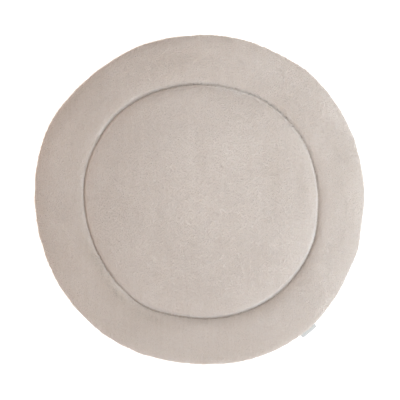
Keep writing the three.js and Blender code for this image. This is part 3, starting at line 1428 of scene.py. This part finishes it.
@dataclass
class SideLabel:
    """The blank label: woven tape folded double over its outer edge and sewn into the side seam."""

    plan: MatPlan
    start: float = math.radians(306.6)
    stop: float = math.radians(312.8)
    reach: float = 465.5 * MM
    seam_height: float = 13 * MM
    tape: float = 0.45 * MM
    opening: float = 0.5 * MM
    sewn_in: float = 5 * MM
    droop: float = 2.5 * MM
    wave: float = 0.5 * MM
    steps_along: int = 36
    steps_leaf: int = 8
    steps_fold: int = 6
    map_margin: float = 0.02

    def fold_profile(self) -> Array:
        """The folded tape cut across: one closed line round its two leaves and its fold.

        The outer side runs out along the top leaf, half round the fold, and back along the lower leaf.
        The inner side runs back the same way, one tape thickness closer in.

        Returns:
            Points (outward, up), from the root at 0 to the fold at the tape's full depth.
        """

        def side(radius: float) -> Array:
            """One side of the folded tape, from the top leaf's root round to the lower leaf's.

            Args:
                radius: its distance from the middle line of the fold.

            Returns:
                Points (outward, up).
            """
            leaf = np.linspace(0, 1, self.steps_leaf + 1)[:, None]
            turn = np.linspace(np.pi / 2, -np.pi / 2, self.steps_fold + 1)
            depth = self.depth() - self.opening / 2 - self.tape
            bend = np.stack([depth + radius * np.cos(turn), radius * np.sin(turn)], axis=-1)
            out = np.concatenate([leaf * depth, np.full_like(leaf, radius)], axis=1)
            back = out[::-1] * [1, -1]
            return np.concatenate([out[:-1], bend, back[1:]])

        outer = side(self.opening / 2 + self.tape)
        inner = side(self.opening / 2)
        return np.concatenate([outer, inner[::-1]])

    def map_run(self) -> float:
        """The distance round the tape's cut edge that the height of its map stands for."""
        steps = np.linalg.norm(np.diff(self.fold_profile(), axis=0), axis=1)
        return float(steps.sum()) / (1 - 2 * self.map_margin)

    def depth(self) -> float:
        """How deep the folded tape is, from its sewn root to its fold."""
        middle = (self.start + self.stop) / 2
        return self.reach - float(self.plan.edge(np.array([middle]))[0]) + self.sewn_in

    def build(self, tape: Material) -> Object:
        """Carries the folded profile along the mat's edge and lets it droop and wave a little.

        Args:
            tape: the label's material.

        Returns:
            The finished piece.
        """
        profile = self.fold_profile()
        angle = np.linspace(self.start, self.stop, self.steps_along + 1)
        radius = self.reach - self.depth() + profile[:, 0]
        share = np.clip(profile[:, 0] / self.depth(), 0, 1)
        ripple = self.wave * np.sin((angle - self.start) / (self.stop - self.start) * 2 * np.pi)
        height = self.seam_height + profile[:, 1] - self.droop * share**2
        z = height[None, :] + ripple[:, None] * share[None, :] ** 2
        x = radius * np.cos(angle)[:, None]
        y = radius * np.sin(angle)[:, None]
        points = (np.stack([x, y, z], axis=-1) - self.plan.middle()).reshape(-1, 3)
        columns = len(profile)
        rows = len(angle)
        skin = round_grid_faces(rows, columns)
        half = columns // 2
        lower, upper = np.arange(half - 1), columns - 1 - np.arange(half - 1)
        ends = []
        for first, way in ((0, 1), ((rows - 1) * columns, -1)):
            quads = np.stack([lower, lower + 1, upper - 1, upper], axis=-1) + first
            ends.append(quads[:, ::way])
        low, high = self.map_margin, 1 - self.map_margin
        u = np.repeat(np.linspace(low, high, rows), columns)
        v = np.tile(np.linspace(low, high, columns), rows)
        made = new_mesh("side_tape_label", points, [skin, *ends], maps=[np.stack([u, v], axis=-1)] * 3)
        finished(made, [tape], LABEL_NODE)
        width = (self.stop - self.start) * (self.reach - self.depth() / 2)
        2 * self.depth()
        return made


@dataclass(frozen=True)
class Softbox:
    """A round soft lamp that faces the middle of the mat."""

    name: str
    place: tuple[float, float, float]
    size: float
    watts: float
    colour: str

    def build(self) -> None:
        """Adds the lamp to the scene."""
        lamp = bpy.data.lights.new(self.name, "AREA")
        lamp.shape = "DISK"
        lamp.size = self.size
        lamp.energy = self.watts
        lamp.color = linear(self.colour)[:3]
        made = bpy.data.objects.new(self.name, lamp)
        made.location = self.place
        made.rotation_euler = Vector(self.place).to_track_quat("Z", "Y").to_euler()
        bpy.context.scene.collection.objects.link(made)


@dataclass
class Studio:
    """The pale floor, the soft lights and the camera straight above the mat."""

    picture_side: int = 400
    metres_per_pixel: float = 2.708 * MM
    picture_shift: tuple[float, float] = (0.0011, -0.0016)
    camera_height: float = 3.2
    sensor: float = 36.0
    floor_radius: float = 60.0
    floor_steps: int = 96
    floor_drop: float = 0.4 * MM
    softboxes: tuple[Softbox, ...] = (
        Softbox("key_lamp", place=(1.34, -1.72, 1.42), size=1.2, watts=36.0, colour="e3f3ff"),
        Softbox("top_lamp", place=(0.60, 0.06, 1.24), size=0.8, watts=15.2, colour="e4f5ff"),
        Softbox("fill_lamp", place=(-1.84, 0.0, 1.84), size=1.4, watts=15.0, colour="fff0e6"),
    )
    sky: float = 0.905
    sky_colour: str = "fff0e6"

    def build(self) -> None:
        """Sets up the floor, the lights, the view's colours and the camera."""
        self.floor()
        self.lights()
        self.camera()

    def floor(self) -> None:
        """A round sheet of white paper just beneath the mat."""
        turn = round_steps(self.floor_steps)
        rim = np.stack([np.cos(turn), np.sin(turn), 0 * turn], axis=-1) * self.floor_radius
        points = np.concatenate([[[0, 0, 0]], rim]) - [0, 0, self.floor_drop]
        paper = new_mesh("studio_floor", points, [fan_faces(0, 1, self.floor_steps, True)])
        paper.data.materials.append(FloorFinish().material())

    def lights(self) -> None:
        """The softboxes and an even pale sky."""
        for softbox in self.softboxes:
            softbox.build()
        world = bpy.data.worlds.new("pale_sky")
        world.use_nodes = True
        tree = world.node_tree
        tree.nodes.clear()
        inputs = {"Color": linear(self.sky_colour), "Strength": self.sky}
        sky = add_node(tree, "ShaderNodeBackground", inputs)
        add_node(tree, "ShaderNodeOutputWorld", {"Surface": sky.outputs["Background"]})
        bpy.context.scene.world = world
        bpy.context.scene.view_settings.view_transform = "Standard"

    def camera(self) -> None:
        """A long lens straight above the mat, with the top of the picture toward +Y."""
        lens = bpy.data.cameras.new("view_camera")
        lens.sensor_width = self.sensor
        field_width = self.picture_side * self.metres_per_pixel
        lens.lens = self.sensor * self.camera_height / field_width
        camera = bpy.data.objects.new("view_camera", lens)
        camera.location = (*self.picture_shift, self.camera_height)
        bpy.context.scene.collection.objects.link(camera)
        bpy.context.scene.camera = camera


def report(piece: Object) -> None:
    """Logs a finished piece with the number of its faces."""
    log.info("%s: %d faces", piece.name, len(piece.data.polygons))


def main() -> None:
    """Builds the mat, its pile, its stitches and its label, and the studio round them."""
    logging.basicConfig(level=logging.INFO, format="%(name)s %(message)s")
    plush = PlushFinish().material()
    back = BackClothFinish().material()
    thread = ThreadFinish().material()
    mat = PaddedMat()
    report(mat.build(plush, back))
    pile = PlushPile(mat)
    for zone in PileZone:
        report(pile.build(zone, plush))
    ring = StitchedRing(mat)
    for side in SeamSide:
        report(ring.build(side, thread))
    label = SideLabel(mat.plan)
    report(label.build(LabelFinish(run=label.map_run()).material()))
    Studio().build()


if __name__ == "__main__":
    main()
